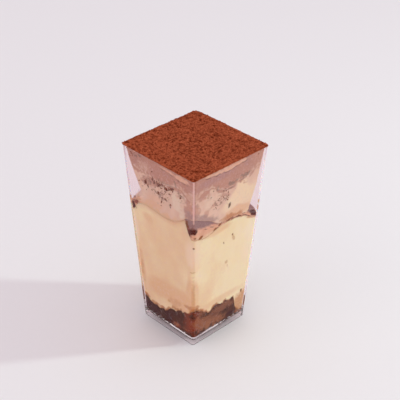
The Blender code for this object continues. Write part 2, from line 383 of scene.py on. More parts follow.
def pressed_food(name, base, second, patch, layers, roughness=0.42, softness=0.4, bump_height=0.05 * MM):
    """Food pressed on a wall: translucent and satin, in slow streaks of two tones, each about a patch wide.

    layers are laid over that in turn: (attribute, colour, start, end) takes a layer in where its attribute,
    torn by fine noise, passes from start to end.
    """
    material, tree, shader = new_material(name)
    place = add(tree, "ShaderNodeTexCoord").outputs["Object"]
    slow = add(tree, "ShaderNodeMapping", {"Vector": place, "Scale": (1.0, 1.0, 0.6)}).outputs[0]
    inputs = {"Vector": slow, "Scale": 1.0 / patch, "Detail": 3.0, "Roughness": 0.6}
    drift = add(tree, "ShaderNodeTexNoise", inputs).outputs["Fac"]
    inputs = {"Vector": place, "Scale": 1.0 / (1.1 * MM), "Detail": 4.0}
    fine = add(tree, "ShaderNodeTexNoise", inputs).outputs["Fac"]
    inputs = {0: fine, 1: 0.6, 2: -0.3}
    tear = add(tree, "ShaderNodeMath", inputs, operation="MULTIPLY_ADD").outputs[0]
    tone = add(tree, "ShaderNodeMapRange", {"Value": drift, "From Min": 0.35, "From Max": 0.68})
    inputs = {0: tone.outputs[0], 6: rgba(base), 7: rgba(second)}
    mixed = add(tree, "ShaderNodeMix", inputs, data_type="RGBA")
    for label, colour, start, end in layers:
        mask = add(tree, "ShaderNodeAttribute", attribute_name=label).outputs["Fac"]
        torn = add(tree, "ShaderNodeMath", {0: mask, 1: tear}, operation="ADD").outputs[0]
        share = add(tree, "ShaderNodeMapRange", {"Value": torn, "From Min": start, "From Max": end})
        inputs = {0: share.outputs[0], 6: mixed.outputs[2], 7: rgba(colour)}
        mixed = add(tree, "ShaderNodeMix", inputs, data_type="RGBA")
    tree.links.new(mixed.outputs[2], shader.inputs["Base Color"])
    shader.inputs["Roughness"].default_value = roughness
    shader.inputs["Specular IOR Level"].default_value = 0.12
    shader.inputs["Subsurface Weight"].default_value = softness
    shader.inputs["Subsurface Radius"].default_value = (1.0, 0.55, 0.3)
    shader.inputs["Subsurface Scale"].default_value = 2.2 * MM
    bump = add(tree, "ShaderNodeBump", {"Height": fine, "Strength": 0.5, "Distance": bump_height})
    tree.links.new(bump.outputs[0], shader.inputs["Normal"])
    return material


def cocoa_powder(name, powder):
    """Sifted alkalised cocoa: dead matte, in clumps of slightly different browns."""
    material, tree, shader = new_material(name)
    place = add(tree, "ShaderNodeTexCoord").outputs["Object"]
    height = add(tree, "ShaderNodeAttribute", attribute_name="height").outputs["Fac"]
    inputs = {"Vector": place, "Scale": 1.0 / (1.3 * MM), "Detail": 5.0, "Roughness": 0.75}
    clumps = add(tree, "ShaderNodeTexNoise", inputs).outputs["Fac"]
    both = add(tree, "ShaderNodeMath", {0: clumps, 1: height}, operation="ADD").outputs[0]
    tone = add(tree, "ShaderNodeMapRange", {"Value": both, "From Min": 0.4, "From Max": 1.4})
    # Its hollows are painted darker and its tops lighter, by the clumps' share and by the noise that also
    # makes the bump: painted shade between the clumps, over the powder's own browns.
    dark, light = (tuple(np.multiply(powder, share)) for share in ((0.44, 0.27, 0.13), (1.4, 1.55, 1.8)))
    mixed = add(tree, "ShaderNodeMix", {0: tone.outputs[0], 6: rgba(dark), 7: rgba(light)}, data_type="RGBA")
    tree.links.new(mixed.outputs[2], shader.inputs["Base Color"])
    shader.inputs["Roughness"].default_value = 1.0
    shader.inputs["Specular IOR Level"].default_value = 0.1
    bump = add(tree, "ShaderNodeBump", {"Height": clumps, "Strength": 0.5, "Distance": 0.2 * MM})
    tree.links.new(bump.outputs[0], shader.inputs["Normal"])
    return material


# ---------------------------------------------------------------------------------- the clear cup

FILLET = 0.6 * MM
EDGE_ROUND = 0.3 * MM
INNER_CORNER = 0.7 * MM
WALL_ROWS = 14


def cup_profile(cup):
    """The cup's cut from the middle of its foot recess round the wall to the middle of its floor.

    Columns: reach (share of the way out), inset from the outside, and height. Corners of the cut are
    quarter circles.
    """
    ceiling, wall, floor = cup.floor_top - cup.floor_depth, cup.wall, cup.floor_top
    quarter = np.linspace(0.0, 0.5 * np.pi, 6)
    sin, cos = np.sin(quarter), np.cos(quarter)
    fillet, lip, foot = FILLET, EDGE_ROUND, EDGE_ROUND
    skip = 0.1 * MM
    reach_in = np.array([0.0, 0.04, 0.3, 0.7, 0.93])
    rows = [np.stack([reach_in, wall + 0 * reach_in, ceiling + 0 * reach_in], axis=1)]

    def turn_in(inset, z):
        rows.append(np.stack([1.0 + 0.0 * inset, inset, z], axis=1))

    turn_in(wall + fillet * (1 - sin), ceiling - fillet * (1 - cos))
    turn_in(np.full(3, wall), np.linspace(ceiling - fillet - skip, foot + skip, 3))
    turn_in(wall - foot * (1 - cos), foot * (1 - sin))
    turn_in(foot * (1 - sin), foot * (1 - cos))
    turn_in(np.zeros(WALL_ROWS), np.linspace(foot + skip, RIM_Z - lip - skip, WALL_ROWS))
    turn_in(lip * (1 - cos), RIM_Z - lip * (1 - sin))
    turn_in(wall - lip * (1 - sin), RIM_Z - lip * (1 - cos))
    turn_in(np.full(WALL_ROWS, wall), np.linspace(RIM_Z - lip - skip, floor + fillet + skip, WALL_ROWS))
    turn_in(wall + fillet * (1 - cos), floor + fillet * (1 - sin))
    reach_out = reach_in[::-1]
    rows.append(np.stack([reach_out, wall + 0 * reach_out, floor + 0 * reach_out], axis=1))
    return np.concatenate(rows)


class TIRAMISU_OT_cup(bpy.types.Operator):
    """Clear cup: the cut of the wall carried round a square with rounded corners"""

    bl_idname = "tiramisu.cup"
    bl_label = "Clear cup"

    def execute(self, context):
        cup = context.scene.tiramisu_cup
        reach, inset, z = cup_profile(cup).T
        turn = turns_round(10, corner_share=cup.corner / (2 * TOP_HALF), corner_steps=8)[None, :]
        radius = np.maximum(cup.corner - inset, INNER_CORNER)[:, None]
        x, y = outline(turn, (wall_half(z) - inset)[:, None], [radius] * 4)
        grid = np.stack([x * reach[:, None], y * reach[:, None], z[:, None] + 0 * x], axis=-1)
        points, faces = closed_rings(grid)
        piece = new_piece("cup_shell", points, faces, clear_plastic(cup.tint, cup.shade))
        # Light that the filling scatters goes out through the wall unbent.
        piece.visible_diffuse = False
        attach(piece, "root")
        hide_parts("cup")
        return {"FINISHED"}


# ------------------------------------------------------------------------------- the filling's shape

# The layers' edges at the wall, as closed profiles of (turn, height in mm).
SPONGE_EDGE = (
    (0, 21.6), (0.05, 21.2), (0.1, 20.2), (0.15, 19), (0.2, 17), (0.25, 16.2), (0.3, 16), (0.35, 17.2),
    (0.42, 18.2), (0.47, 17.8), (0.52, 16.6), (0.57, 16.3), (0.6, 17.1), (0.65, 16.3), (0.7, 16.7),
    (0.76, 16.6), (0.785, 14), (0.8, 10.6), (0.83, 8), (0.88, 6), (0.94, 5.4), (1, 7), (1.2, 13),
    (1.5, 17.6), (1.75, 16.2), (2, 18), (2.3, 15.4), (2.6, 17.2), (2.85, 15.2), (3, 14.2), (3.06, 12.8),
    (3.1, 12.1), (3.15, 11.5), (3.25, 10.8), (3.35, 10.8), (3.44, 11.2), (3.5, 12.5), (3.58, 14.8),
    (3.65, 15.3), (3.72, 16.2), (3.78, 17.4), (3.83, 17.5), (3.88, 18), (3.93, 19.6), (3.97, 20.9),
)
CREAM_EDGE = (
    (0, 65.8), (0.03, 65.4), (0.1, 64.4), (0.2, 64.2), (0.3, 65.2), (0.38, 66.3), (0.45, 66.5), (0.5, 66.4),
    (0.6, 66.7), (0.7, 66), (0.8, 64.6), (0.85, 63.4), (0.9, 61.9), (0.95, 60.9), (1, 60.4), (1.15, 64.5),
    (1.5, 67), (1.8, 66), (2, 64), (2.2, 66), (2.5, 68.5), (2.8, 67), (3, 64.4), (3.04, 64.8), (3.08, 67.4),
    (3.12, 69.4), (3.2, 70.5), (3.27, 70.8), (3.41, 70.3), (3.57, 69.7), (3.72, 70.6), (3.8, 72.4),
    (3.86, 74.2), (3.885, 74.6), (3.905, 71.6), (3.93, 68.4), (3.96, 66.4),
)
SOAKED_EDGE = (
    (0, 71.2), (0.05, 70.6), (0.1, 69.7), (0.2, 69), (0.25, 68.8), (0.3, 68.5), (0.38, 68.2), (0.45, 67.9),
    (0.5, 67.7), (0.6, 68), (0.7, 67.3), (0.8, 66.6), (0.85, 65.6), (0.9, 64.2), (0.95, 63.4), (1, 63),
    (1.15, 66.4), (1.3, 66.8), (1.5, 68), (1.85, 66.8), (2, 69), (2.15, 67.2), (2.5, 69.4), (2.85, 68.6),
    (3, 69.6), (3.04, 69.8), (3.08, 70.4), (3.12, 70.8), (3.2, 71.3), (3.27, 71.5), (3.41, 71),
    (3.57, 70.4), (3.72, 71.3), (3.8, 73.1), (3.86, 74.9), (3.885, 75.2), (3.905, 72.6), (3.93, 71.2),
    (3.96, 71.2),
)
# How far the upper cream stands off the soaked layer's edge: (turn, mm).
UPPER_LIFT = (
    (0, 5.8), (0.05, 5.7), (0.1, 5.3), (0.2, 4), (0.25, 2.9), (0.3, 1.8), (0.36, 0.2), (0.38, -0.3),
    (0.81, -0.3), (0.85, 2.2), (0.89, 2), (0.94, 1.7), (1, 1.6), (1.2, 0.2), (1.3, -0.3), (1.75, -0.3),
    (2, 1.2), (2.2, -0.3), (2.8, 0.2), (3, 1.4), (3.08, 0.6), (3.14, -0.3), (3.87, -0.3), (3.885, 0.8),
    (3.905, 3.6), (3.93, 5.2), (3.96, 5.4),
)
UPPER_EDGE = (
    (0, 87), (0.08, 89.4), (0.15, 91.2), (0.24, 90.8), (0.32, 88.4), (0.38, 86.6), (0.45, 85.6),
    (0.55, 85.8), (0.62, 87), (0.72, 87.8), (0.8, 88), (0.86, 89.6), (0.92, 91.4), (1, 91.8), (1.3, 90),
    (1.7, 88), (2, 90.5), (2.4, 89), (2.7, 88), (3, 91.4), (3.12, 90.2), (3.21, 89.4), (3.37, 89),
    (3.456, 87.7), (3.55, 88.3), (3.64, 89.2), (3.76, 90.4), (3.845, 91), (3.9, 89), (3.95, 87.4),
)
# Setbacks of the filling's corners from the wall's: (height, setback), in mm, for each corner in turn.
LOWER_CORNERS = (
    ((0, 0.9), (100, 0.9)),
    ((5, 1.3), (20, 1.2), (25, 0.9), (62, 0.8), (66, 0.6)),
    ((5, 2.4), (22, 2), (28, 1), (66, 1.4)),
    ((5, 1.6), (20, 1.6), (24, 0.9), (60, 0.8), (70, 0.9)),
)
UPPER_CORNERS = (
    ((0, 0.9), (100, 0.9)),
    ((68, 6.6), (74, 5.1), (80, 3.6), (85, 3), (90, 2.3), (95, 1.8), (98, 1.4)),
    ((69, 6), (80, 5), (95, 2.8), (98, 1.8)),
    (
        (70, 2), (71, 3.4), (72.2, 5), (73.6, 7.2), (75.4, 9.4), (77, 9.1), (82, 6.9), (86, 5.3), (90, 3.7),
        (94, 2.6), (98, 1.7),
    ),
)
BAND_TOP = 97.7 * MM
# Where no coffee shows between the creams, as a mark, and their colour where they run together there.
DRY_SIDE = ((3.49, 71.5, 34, 30, 1),)
MELTED = linear("E6BA94")
# Colours that more than one layer takes.
# Pinkish white painted on the hidden faces next to the side corners: a painted reflection, so that the clear
# wall's side edges look white where the filling shows through them.
PAINTED_GLARE = linear("FBEFF2")
SPECK = linear("5E3428")
# Painted highlight of the cup's rounded front corner: a pale hair line on the cream up that corner.
CORNER_HIGHLIGHT = linear("ECCABC")
# Specks of cocoa in the upper cream: (turn, height, width, height, strength, tilt), sizes in mm.
SPECKS = (
    (3.285, 83.9, 1.5, 2.4, 1, -15), (3.32, 82.3, 1.3, 1.5, 0.9), (3.34, 85.8, 0.8, 1.6, 0.5),
    (3.4, 87.7, 1.2, 1.5, 0.9), (3.425, 86.5, 1.6, 1.3, 0.9, 30), (3.5, 86.3, 1.8, 1.3, 1),
    (3.52, 87, 1, 1, 0.8), (3.55, 87.9, 1.2, 1, 0.9), (3.475, 85.4, 0.9, 0.8, 0.7),
    (3.58, 86.1, 1, 1.3, 0.9), (3.59, 84.9, 0.9, 1.1, 0.8), (3.64, 86.7, 1.2, 1, 0.9),
    (3.66, 87.2, 1, 0.8, 0.8), (3.69, 87.8, 1.5, 0.9, 0.9, 20), (3.71, 88.8, 0.9, 1, 0.9),
    (3.48, 81.6, 1.1, 1.4, 0.9, -20), (3.46, 80.3, 0.8, 0.9, 0.7), (3.53, 78.8, 0.7, 1.2, 0.8),
    (3.55, 79.5, 0.8, 0.8, 0.7), (3.605, 80.5, 1.1, 0.8, 0.9), (3.625, 80.2, 0.8, 0.9, 0.7),
    (3.65, 78.6, 0.7, 1, 0.8), (3.66, 77.5, 0.7, 0.9, 0.9), (3.46, 75.8, 0.5, 2, 0.5, 10),
    (3.2, 86.3, 0.7, 0.7, 0.6), (3.75, 85.9, 0.8, 0.8, 0.6), (3.82, 86.3, 1, 1.4, 0.6),
    (3.84, 84.9, 0.8, 1.2, 0.7), (3.815, 83.5, 0.7, 1.1, 0.7), (3.06, 72.7, 1.4, 1.2, 0.5),
    (3.14, 96.5, 1.4, 0.8, 0.8), (3.185, 96.2, 1.8, 0.7, 0.8), (3.23, 96.7, 1, 0.8, 0.7),
    (3.12, 95.6, 0.8, 0.8, 0.6), (0.525, 75.9, 1.7, 3, 1, -20), (0.464, 80.6, 0.9, 1.6, 0.8, 30),
    (0.489, 79.1, 0.8, 0.8, 0.8), (0.189, 86.1, 0.9, 1.1, 0.7), (0.636, 80.8, 0.7, 0.7, 0.6),
    (0.31, 79.7, 1.8, 0.8, 0.6, 10), (0.24, 85.5, 1.3, 0.9, 0.6), (1.4, 83.3, 1.4, 1.2, 0.8),
    (1.46, 81.3, 0.9, 1, 0.7), (1.55, 85.3, 1.2, 1.4, 0.8), (1.62, 82.3, 0.8, 0.9, 0.7),
    (2.36, 84.3, 1.3, 1, 0.8), (2.45, 82.3, 0.8, 1.2, 0.7), (2.52, 85.8, 1.1, 1, 0.8),
    (2.66, 80.3, 1, 0.8, 0.7),
)


def corner_cuts(corners, z):
    """Setback of each corner at heights z, read along its knots."""
    return [np.interp(z / MM, *zip(*knots)) * MM for knots in corners]


def filling_half(cup, z, depth=0.0):
    """Half width of the filling where it presses on the wall, a little way into it."""
    return wall_half(z) - cup.wall + cup.contact + depth


def slab(cup, bottom, top, middle, corners, bulge, per_side, row_gap, depth=0.0, edge=0.06 * MM, relief=None):
    """Closed surface of one layer of filling.

    One parameter runs round the cup. The other runs from the middle of the underside out to the wall,
    up the wall and back over the top. The heights at the wall are the profiles bottom and top, and they
    pass to the two middle heights with the square of the reach. The rims of the wall face are rounded.
    Returns the grid of points, the turns of its columns and the height of each point.
    """
    turn = turns_round(per_side)[None, :]
    low, high = bottom(turn), top(turn)
    rows = max(int(round(float((high - low).mean()) / row_gap)), 3)
    reach = np.array([0.0, 0.15, 0.4, 0.65, 0.85, 0.95])
    share = np.concatenate([np.zeros(len(reach)), np.linspace(0.0, 1.0, rows), np.ones(len(reach))])[:, None]
    reach = np.concatenate([reach, np.ones(rows), reach[::-1]])[:, None]
    z = low * (1.0 - share) + high * share
    near = np.minimum(z - low, high - z)
    tuck = edge - np.sqrt(np.maximum(edge**2 - np.maximum(edge - near, 0.0) ** 2, 0.0))
    x, y = outline(turn + 0 * z, filling_half(cup, z, depth) - tuck, corner_cuts(corners, z), bulge)
    if relief is not None:
        push = relief(np.stack([x, y, z], axis=-1), turn, z) * (reach >= 1.0)
        size = np.maximum(np.maximum(np.abs(x), np.abs(y)), 1e-6)
        x, y = x * (1.0 + push / size), y * (1.0 + push / size)
    flat = middle[0] * (1.0 - share) + middle[1] * share
    z = flat + (z - flat) * reach**2
    return np.stack([x * reach, y * reach, z], axis=-1), turn, z


def wavy(profile, seed, height, cell):
    """A profile, in metres, with small ragged waves added by noise read along the wall."""

    def read(turn):
        x, y = outline(np.asarray(turn), 20.0 * MM)
        spot = np.stack([x, y, 0 * x], axis=-1)
        return along(profile, turn) * MM + height * noise(spot, cell, seed, octaves=3)

    return read


SPONGE_TOP = wavy(SPONGE_EDGE, 3, 0.6 * MM, 1.8 * MM)
CREAM_TOP = wavy(CREAM_EDGE, 5, 0.18 * MM, 3.0 * MM)
SOAKED_TOP = wavy(SOAKED_EDGE, 7, 0.16 * MM, 2.6 * MM)
UPPER_TOP = wavy(UPPER_EDGE, 11, 0.55 * MM, 3.2 * MM)


def upper_bottom(turn):
    """Height of the upper cream's underside at the wall."""
    return SOAKED_TOP(turn) + along(UPPER_LIFT, turn) * MM


def pocket_top(turn):
    """Top of the soaked layer's face: the upper cream's underside where that has lifted off it."""
    return np.maximum(SOAKED_TOP(turn), upper_bottom(turn) + 0.1 * MM)


def place_piece(name, made, material, node, marks):
    """Puts a slab in the scene as a piece that stands for a CAD node, with its marks as attributes."""
    points, faces = closed_rings(made)
    fields = {label: np.broadcast_to(field, made.shape[:2]) for label, field in marks.items()}
    values = {label: pole_values(field) for label, field in fields.items()}
    piece = new_piece(name, points, faces, material, values)
    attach(piece, "root")
    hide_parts(node)


# Marks on each layer's face, by kind, as marks_on reads them.
SPONGE_MARKS = {
    "red": (
        (0.03, 12, 9, 16, 0.9), (0.04, 19, 5, 4, 0.8), (3.93, 12, 8, 14, 0.7), (3.93, 19, 3, 2.6, 1),
        (3.89, 7, 5, 2.4, 1), (3.68, 6.6, 7, 4, 0.6), (0.95, 5.4, 3, 2, 1), (2.3, 9, 14, 8, 0.5),
        (0.87, 6.2, 3.4, 3.4, 0.7),
    ),
    "tan": (
        (0.1, 12, 8, 12, 0.7), (0.25, 10, 13, 8, 0.9), (0.45, 8.5, 14, 7, 0.8), (0.4, 5.4, 4, 1.6, 1),
        (0.55, 13.5, 16, 6, 0.55), (1.4, 9, 16, 6, 0.5), (3.87, 7.2, 2.4, 1.4, 0.9),
        (3.66, 6.8, 5, 2.6, 0.8), (0.9, 6.4, 6, 4, 0.8), (1.1, 10, 9, 12, 1), (2.93, 11, 6, 12, 1),
    ),
    "olive": (
        (0.52, 14, 22, 7, 1, 8), (3.83, 7.6, 3, 2.2, 0.9), (0.15, 16.5, 6, 4, 0.6), (1.5, 14, 20, 6, 0.7),
        (2.4, 13, 16, 6, 0.6),
    ),
    "dark": (
        (3.22, 8, 15, 9, 1), (3.52, 9, 9, 8, 0.8), (3.7, 14, 12, 5, 0.5), (0.4, 12.6, 6, 2, 0.42, -15),
        (0.74, 6.8, 7, 3.6, 1), (1.7, 8, 12, 8, 0.7), (2.7, 8, 14, 8, 0.7),
    ),
}


class TIRAMISU_OT_sponge(bpy.types.Operator):
    """Coffee-soaked sponge: a slab with a ragged top, its face full of pores"""

    bl_idname = "tiramisu.sponge"
    bl_label = "Soaked sponge"

    def execute(self, context):
        cup, food = context.scene.tiramisu_cup, context.scene.tiramisu_filling
        # It rests on its rim: the middle of its underside stands a little off the floor.
        hollow = cup.floor_top + 0.5 * MM
        level = cup.floor_top / MM
        underside = wavy(((0.0, level), (2.0, level)), 25, 0.1 * MM, 2.2 * MM)

        def relief(points, turn, z):
            pores = np.maximum(noise(points, 1.3 * MM, 21, octaves=2) - 0.25, 0.0)
            return -0.5 * MM * pores

        made, turn, z = slab(
            cup, underside, SPONGE_TOP, (hollow, 17.5 * MM), LOWER_CORNERS, 0.9, 120, 0.35 * MM,
            depth=-0.02 * MM, relief=relief,
        )
        ragged = 0.55 * noise(made, 2.6 * MM, 23, octaves=3)
        marks = {label: marks_on(turn, z, table, ragged) for label, table in SPONGE_MARKS.items()}
        # Ladyfinger crumb full of coffee: moist, dark and open, redder where the syrup stands in it.
        material = pressed_food(
            "coffee_soaked_ladyfinger", food.sponge, linear("44200F"), 4.0 * MM,
            (
                ("red", linear("8A3A1E"), 0.2, 0.9),
                ("tan", linear("9C6242"), 0.2, 0.9),
                ("olive", linear("845038"), 0.1, 1.0),
                ("dark", linear("42060C"), 0.2, 0.9),
            ),
            roughness=0.5, softness=0.0, bump_height=0.2 * MM,
        )
        place_piece("sponge_base_crumb", made, material, "sponge_base", marks)
        return {"FINISHED"}


LOWER_MARKS = {
    "warm": (
        (3.5, 45, 60, 90, 0.62), (3.95, 36, 7, 32, 0.95), (0.03, 34, 5, 26, 0.8), (3.06, 31, 5, 28, 0.95),
        (0.3, 64.4, 26, 4, 0.7), (3.55, 24, 36, 18, 1.1), (3.42, 56, 14, 18, 0.6), (3.25, 64, 12, 8, 0.8),
        (0.5, 20.5, 34, 5, 0.6), (2.5, 45, 46, 70, 0.5),
    ),
    # Painted highlights of the cup's rounded corners, on the cream behind them.
    "pale": (
        (3.97, 55.5, 7, 14, 0.55), (0.03, 55, 7, 16, 0.45), (3.03, 54, 4, 18, 0.7), (0.93, 48, 8, 34, 0.5),
    ),
    "tan": (
        (0, 23, 8, 4, 0.7), (3.06, 30, 2.4, 22, 0.45), (0.89, 62.8, 7, 2.4, 0.6, -15),
        (3.06, 66, 4, 3, 0.6), (3.67, 20.5, 9, 6, 0.45),
    ),
}
# Pits in the cream's face, stained ochre. Some hold coffee.
PITS = (
    (0.616, 57.2, 1.1, 1.5, 1, 20), (0.64, 55, 1.8, 4.2, 0.5, 25), (0.477, 54.9, 0.7, 1.5, 0.7, 30),
    (0.002, 60.7, 1.3, 0.9, 1.2, -25), (0.905, 17.8, 1.4, 2.4, 0.9, 10), (0.545, 42, 2.4, 2.4, 0.45),
    (3.99, 46.1, 3.4, 0.7, 0.6, 10), (3.54, 19, 2.6, 1.6, 0.6), (0.57, 39.6, 1.4, 3, 0.3, 20),
)
COFFEE_PITS = (PITS[0], *PITS[2:5])


class TIRAMISU_OT_lower_cream(bpy.types.Operator):
    """Lower mascarpone cream: a tall slab pressed on the wall, stained where coffee reached it"""

    bl_idname = "tiramisu.lower_cream"
    bl_label = "Lower cream"

    def execute(self, context):
        cup, food = context.scene.tiramisu_cup, context.scene.tiramisu_filling

        def relief(points, turn, z):
            return 0.02 * MM * noise(points, 6.0 * MM, 31)

        made, turn, z = slab(
            cup, SPONGE_TOP, CREAM_TOP, (17.2 * MM, 67.5 * MM), LOWER_CORNERS, 0.9, 110, 0.45 * MM,
            relief=relief,
        )
        low, high = SPONGE_TOP(turn), CREAM_TOP(turn)
        ragged = 0.6 * noise(made, 2.5 * MM, 33, octaves=3)
        broad = 0.5 * noise(made, 14.0 * MM, 34, octaves=2)
        dry = marks_on(turn, z, DRY_SIDE, 0.0)
        # Coffee creeps up from the sponge, more so beside corner 1, and down from the soaked layer
        # but for its dry side.
        lip = smooth(1.0 - (high - z) / (0.9 * MM) - 0.8 * ragged)
        beside = smooth((turn - 0.76) / 0.06) * smooth((1.12 - turn) / 0.1)
        crept = (
            0.75 * lip * (1.0 - dry),
            0.72 * beside * smooth((21.0 * MM - z) / (6.0 * MM) - 0.5 * ragged),
            0.9 * smooth(1.0 - (z - low) / (2.8 * MM) - ragged),
        )
        wet = 0.62 * smooth(1.0 - (z - low) / (1.2 * MM) - ragged)
        uneven = 0.16 * noise(made, 8.0 * MM, 35, octaves=3)
        marks = {
            "warm": marks_on(turn, z, LOWER_MARKS["warm"], broad) + uneven,
            "pale": marks_on(turn, z, LOWER_MARKS["pale"], 0.8 * broad),
            "melt": smooth(1.0 - (high - z) / (4.0 * MM) - 0.5 * broad) * dry,
            "tan": np.maximum.reduce([marks_on(turn, z, LOWER_MARKS["tan"], ragged), *crept]),
            "ochre": marks_on(turn, z, (*PITS, (0.0, 31.0, 2.2, 24.0, 0.34)), 0.4 * ragged),
            "coffee": np.maximum(marks_on(turn, z, COFFEE_PITS, 0.6 * ragged), wet),
            # Painted reflection: pale strips on the hidden face by a side corner.
            "painted_glare": hidden_sides(turn, z, 50.0, 140.0, corners=((1.0, 1.0),)),
        }
        # Mascarpone beaten with egg yolk: dense, smooth and pale yellow, with a soft sheen.
        material = pressed_food(
            "mascarpone_cream", food.cream, linear("F5DFB0"), 14.0 * MM,
            (
                ("warm", linear("E9C094"), 0.1, 1.0),
                # pale: the painted highlights of the cup's corners.
                ("pale", linear("FBE9D4"), 0.0, 1.3),
                ("melt", MELTED, 0.0, 1.0),
                ("tan", food.tan, 0.25, 0.9),
                ("ochre", linear("BE8644"), 0.1, 0.9),
                ("coffee", linear("6E3804"), 0.4, 0.9),
                # The painted reflection by the side corners.
                ("painted_glare", PAINTED_GLARE, 0.0, 1.0),
            ),
            softness=0.5,
        )
        place_piece("cream_lower_slab", made, material, "cream_lower", marks)
        return {"FINISHED"}


SOAKED_MARKS = {
    "open_edge": ((0.15, 67, 13, 14, 1),),
    "red": (
        (3.08, 69.4, 6, 2.8, 1.1, 40), (3.95, 70, 3.4, 7, 1), (3.94, 75, 4, 4, 0.6), (1.02, 65, 6, 4, 0.7),
        (0.5, 67.4, 16, 1.2, 0.7),
    ),
    "rusty": (
        (0.1, 65.6, 3.2, 1.8, 1, 15), (0.32, 66, 3.2, 1.8, 1, 20), (0.39, 67.2, 2.2, 1.3, 0.9),
        (0.02, 66.6, 1.8, 1.3, 0.8), (3.91, 73.6, 2.4, 4, 1), (0.52, 67.2, 3, 1, 0.8),
        (0.7, 66.4, 4, 1.2, 0.8, -20),
    ),
    "coffee": (
        (3.945, 68.6, 1.6, 4, 0.9, 20), (0.11, 65.2, 1.2, 0.8, 0.7, 20), (0.38, 66.9, 1.4, 0.9, 0.7),
        (0.275, 68, 1.4, 0.8, 0.6), (2, 66.5, 6, 5, 1.1),
    ),
}
# Coffee standing in the corners.
POOLS = (
    (0.01, 70.2, 3.6, 3.6, 1.3), (3.975, 70.2, 3.4, 3.8, 1.3), (0.955, 63.4, 8, 3.6, 1.3, -30),
    (3.03, 67, 3.2, 5.6, 1.3, 12),
)


class TIRAMISU_OT_soaked_layer(bpy.types.Operator):
    """Thin soaked layer between the creams, with coffee pooled in the corners"""

    bl_idname = "tiramisu.soaked_layer"
    bl_label = "Soaked layer"

    def execute(self, context):
        cup, food = context.scene.tiramisu_cup, context.scene.tiramisu_filling

        def relief(points, turn, z):
            return -0.7 * MM * smooth((z - SOAKED_TOP(turn)) / (0.5 * MM))

        made, turn, z = slab(
            cup, CREAM_TOP, pocket_top, (67.5 * MM, 68.6 * MM), LOWER_CORNERS, 0.9, 150, 0.16 * MM,
            depth=0.03 * MM, relief=relief,
        )
        low, high = CREAM_TOP(turn), SOAKED_TOP(turn)
        ragged = 0.6 * noise(made, 1.6 * MM, 41, octaves=3)
        dry = marks_on(turn, z, DRY_SIDE, 0.0)
        open_edge = marks_on(turn, z, SOAKED_MARKS["open_edge"], 0.0)
        lower_line = line_at(z, low + 0.3 * MM, 0.6 * MM) * (1.0 - open_edge)
        lines = np.maximum(lower_line, line_at(z, high - 0.2 * MM, 0.3 * MM))
        beads = smooth(0.9 + 1.2 * noise(made, 1.3 * MM, 44, octaves=2))
        coffee = (
            lines * beads * (1.0 - dry),
            marks_on(turn, z, SOAKED_MARKS["coffee"], ragged),
            marks_on(turn, z, POOLS, 0.35 * ragged),
        )
        marks = {
            "milk": dry,
            "red": marks_on(turn, z, SOAKED_MARKS["red"], ragged),
            "fade": smooth(1.0 - (z - low) / (2.4 * MM) - 0.5 * ragged) * open_edge,
            # Painted shade of the air gap under the upper cream, lavender grey like the surround seen through
            # the wall.
            "painted_gap_shade": smooth(0.2 + (z - high) / (1.8 * MM) + 0.4 * ragged),
            "rusty": marks_on(turn, z, SOAKED_MARKS["rusty"], 0.7 * ragged),
            # A painted highlight of the cup's front corner, above the soaked layer's top.
            "edge": corner_highlight(turn, z) * smooth((z - 73.0 * MM) / (2.0 * MM)),
            "coffee": np.maximum.reduce(coffee),
        }
        # Crumb and cream run together: orange where the coffee is thin, nearly black where it stands.
        material = pressed_food(
            "coffee_soaked_crumb", linear("E8B698"), linear("DCA284"), 5.0 * MM,
            (
                ("milk", MELTED, 0.1, 0.8),
                ("red", linear("925040"), 0.3, 0.9),
                ("fade", linear("EFCDA8"), 0.0, 1.0),
                # The air gap's painted shade.
                ("painted_gap_shade", linear("9A7874"), 0.1, 1.0),
                ("rusty", linear("9C5A2C"), 0.2, 0.9),
                # edge: the painted highlight of the cup's front corner.
                ("edge", linear("D8B4A4"), 0.3, 0.8),
                ("coffee", food.coffee, 0.35, 1.0),
            ),
            softness=0.2, bump_height=0.12 * MM,
        )
        place_piece("soaked_middle_layer", made, material, "soaked_middle", marks)
        return {"FINISHED"}


